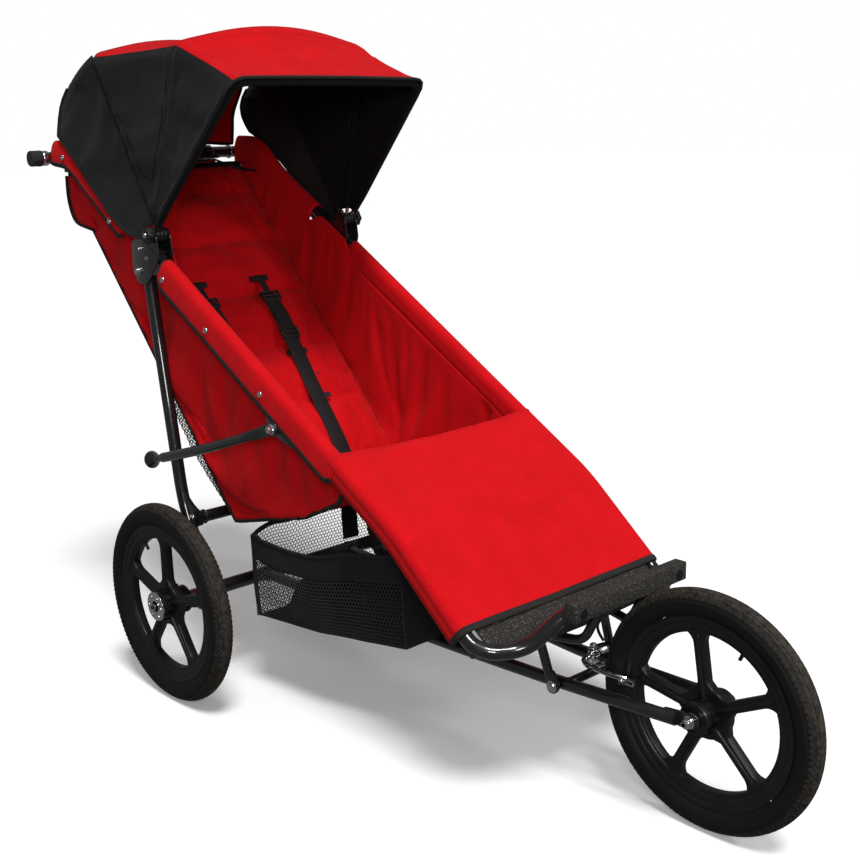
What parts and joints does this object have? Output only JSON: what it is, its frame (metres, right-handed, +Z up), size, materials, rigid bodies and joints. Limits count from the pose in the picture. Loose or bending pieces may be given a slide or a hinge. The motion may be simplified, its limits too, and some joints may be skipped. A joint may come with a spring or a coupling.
{
  "type": "jogging stroller",
  "caption": "Three-wheeled jogging stroller with a folding tube frame, a sling seat, a bowed canopy, a footrest and a mesh basket.",
  "frame": {"origin": "on the ground, in the middle of the overall length and width", "axes": "+Z up, -Y forward (towards the single front wheel), +X towards the child's left hand"},
  "size_m": [0.764, 1.7696, 1.2918],
  "materials": {
    "black_paint": "gloss powder coat",
    "chrome": "bright plated steel",
    "wheel_plastic": "glass-filled nylon, satin",
    "tyre_rubber": "matt rubber",
    "black_plastic": "satin moulding",
    "grip_tape": "coarse anti-slip grit",
    "foam": "closed-cell foam",
    "red_fabric": "woven coated nylon",
    "black_fabric": "woven coated nylon",
    "webbing": "ribbed nylon webbing",
    "mesh_fabric": "open hexagonal mesh"
  },
  "bodies": {
    "lower_frame": {"lower_frame": "black_paint", "front_axle": "chrome", "caliper_mount": "chrome", "rear_axle_left": "chrome", "rear_axle_right": "chrome", "fold_bolt_left": "chrome", "fold_bolt_right": "chrome", "basket": "mesh_fabric"},
    "front_wheel": {"front_wheel": "wheel_plastic", "front_tyre": "tyre_rubber"},
    "rear_wheel_left": {"rear_wheel_left": "wheel_plastic", "rear_tyre_left": "tyre_rubber", "hub_ring_left": "chrome"},
    "rear_wheel_right": {"rear_wheel_right": "wheel_plastic", "rear_tyre_right": "tyre_rubber", "hub_ring_right": "chrome"},
    "release_button_left": {"release_button_left": "black_plastic"},
    "release_button_right": {"release_button_right": "black_plastic"},
    "parking_lever_left": {"parking_lever_left": "black_plastic"},
    "parking_lever_right": {"parking_lever_right": "black_plastic"},
    "caliper_arm_left": {"caliper_arm_left": "chrome"},
    "caliper_arm_right": {"caliper_arm_right": "chrome"},
    "rear_uprights": {"rear_uprights": "black_paint"},
    "seat_frame": {"main_frame": "black_paint", "foot_plate": "grip_tape", "toe_bar": "grip_tape", "rail_bracket_left": "black_paint", "rail_bracket_right": "black_paint", "handle_grip": "foam", "grip_end_left": "foam", "grip_end_right": "foam", "brake_lever_clamp": "black_paint", "strut_bolt_left": "chrome", "strut_bolt_right": "chrome", "seat_back": "red_fabric", "seat_base": "red_fabric", "seat_side_left": "red_fabric", "seat_side_right": "red_fabric", "leg_panel": "red_fabric", "back_pocket": "red_fabric", "harness_strap_left": "webbing", "harness_strap_right": "webbing", "harness_buckle": "black_plastic"},
    "canopy_knob_left": {"canopy_knob_left": "black_plastic"},
    "canopy_knob_right": {"canopy_knob_right": "black_plastic"},
    "side_strut_left": {"side_strut_left": "black_paint"},
    "side_strut_right": {"side_strut_right": "black_paint"},
    "brake_lever": {"brake_lever": "chrome"},
    "canopy_rear": {"canopy_bow_rear": "chrome", "canopy_tail": "red_fabric"},
    "canopy_middle": {"canopy_bow_middle": "chrome", "canopy_rear_panel": "red_fabric"},
    "canopy_front": {"canopy_bow_front": "chrome", "canopy_front_panel": "red_fabric"}
  },
  "joints": [
    {"name": "frame_fold", "type": "hinge", "parent": "lower_frame", "child": "seat_frame", "pos_m": [0, -0.432, 0.187], "axis": [1, 0, 0], "range_deg": [-28, 0], "deforming": ["seat_back", "seat_base", "seat_side_left", "seat_side_right", "leg_panel", "back_pocket", "basket", "harness_strap_left", "harness_strap_right", "harness_buckle"]},
    {"name": "upright_swing", "type": "hinge", "parent": "lower_frame", "child": "rear_uprights", "pos_m": [0, 0.343, 0.2], "axis": [1, 0, 0], "range_deg": [-68, 0]},
    {"name": "strut_swing_left", "type": "hinge", "parent": "seat_frame", "child": "side_strut_left", "pos_m": [0.2585, 0.078, 0.579], "axis": [1, 0, 0], "range_deg": [0, 41]},
    {"name": "strut_swing_right", "type": "hinge", "parent": "seat_frame", "child": "side_strut_right", "pos_m": [-0.2585, 0.078, 0.579], "axis": [1, 0, 0], "range_deg": [0, 41]},
    {"name": "front_wheel_spin", "type": "hinge", "parent": "lower_frame", "child": "front_wheel", "pos_m": [0, -0.685, 0.2], "axis": [1, 0, 0], "continuous": true},
    {"name": "rear_wheel_spin_left", "type": "hinge", "parent": "lower_frame", "child": "rear_wheel_left", "pos_m": [0.34, 0.343, 0.2], "axis": [1, 0, 0], "continuous": true},
    {"name": "rear_wheel_spin_right", "type": "hinge", "parent": "lower_frame", "child": "rear_wheel_right", "pos_m": [-0.34, 0.343, 0.2], "axis": [1, 0, 0], "continuous": true},
    {"name": "release_press_left", "type": "slide", "parent": "lower_frame", "child": "release_button_left", "axis": [-1, 0, 0], "range_m": [0, 0.003]},
    {"name": "release_press_right", "type": "slide", "parent": "lower_frame", "child": "release_button_right", "axis": [1, 0, 0], "range_m": [0, 0.003]},
    {"name": "parking_brake_left", "type": "hinge", "parent": "lower_frame", "child": "parking_lever_left", "pos_m": [0.26, 0.377, 0.166], "axis": [1, 0, 0], "range_deg": [-20, 0]},
    {"name": "parking_brake_right", "type": "hinge", "parent": "lower_frame", "child": "parking_lever_right", "pos_m": [-0.26, 0.377, 0.166], "axis": [1, 0, 0], "range_deg": [-20, 0]},
    {"name": "brake_squeeze", "type": "hinge", "parent": "seat_frame", "child": "brake_lever", "pos_m": [0.15, 0.834, 1.032], "axis": [0, 0, 1], "range_deg": [-12, 0]},
    {"name": "caliper_close_left", "type": "hinge", "parent": "lower_frame", "child": "caliper_arm_left", "pos_m": [0, -0.452, 0.232], "axis": [0, 0, 1], "range_deg": [-1.5, 0]},
    {"name": "caliper_close_right", "type": "hinge", "parent": "lower_frame", "child": "caliper_arm_right", "pos_m": [0, -0.452, 0.222], "axis": [0, 0, 1], "range_deg": [0, 1.5]},
    {"name": "canopy_knob_turn_left", "type": "hinge", "parent": "seat_frame", "child": "canopy_knob_left", "pos_m": [0.236, 0.457, 0.906], "axis": [1, 0, 0], "range_deg": [-90, 90]},
    {"name": "canopy_knob_turn_right", "type": "hinge", "parent": "seat_frame", "child": "canopy_knob_right", "pos_m": [-0.236, 0.457, 0.906], "axis": [1, 0, 0], "range_deg": [-90, 90]},
    {"name": "canopy_rear_fold", "type": "hinge", "parent": "seat_frame", "child": "canopy_rear", "pos_m": [0, 0.457, 0.906], "axis": [1, 0, 0], "range_deg": [-10.5, 0], "deforming": ["canopy_tail", "canopy_rear_panel"]},
    {"name": "canopy_fold", "type": "hinge", "parent": "canopy_rear", "child": "canopy_middle", "pos_m": [0, 0.457, 0.906], "axis": [1, 0, 0], "range_deg": [-34, 0], "deforming": ["canopy_rear_panel", "canopy_tail", "canopy_front_panel"]},
    {"name": "canopy_front_fold", "type": "hinge", "parent": "canopy_middle", "child": "canopy_front", "pos_m": [0, 0.457, 0.906], "axis": [1, 0, 0], "range_deg": [-19.5, 0], "deforming": ["canopy_front_panel", "canopy_rear_panel"]}
  ],
  "couplings": [
    {"joint": "upright_swing", "follows": "frame_fold", "ratio": 2.4},
    {"joint": "strut_swing_left", "follows": "frame_fold", "ratio": -1.43},
    {"joint": "strut_swing_right", "follows": "frame_fold", "ratio": -1.43},
    {"joint": "caliper_close_left", "follows": "brake_squeeze", "ratio": 0.125},
    {"joint": "caliper_close_right", "follows": "brake_squeeze", "ratio": -0.125},
    {"joint": "canopy_rear_fold", "follows": "canopy_fold", "ratio": 0.3},
    {"joint": "canopy_front_fold", "follows": "canopy_fold", "ratio": 0.57}
  ]
}
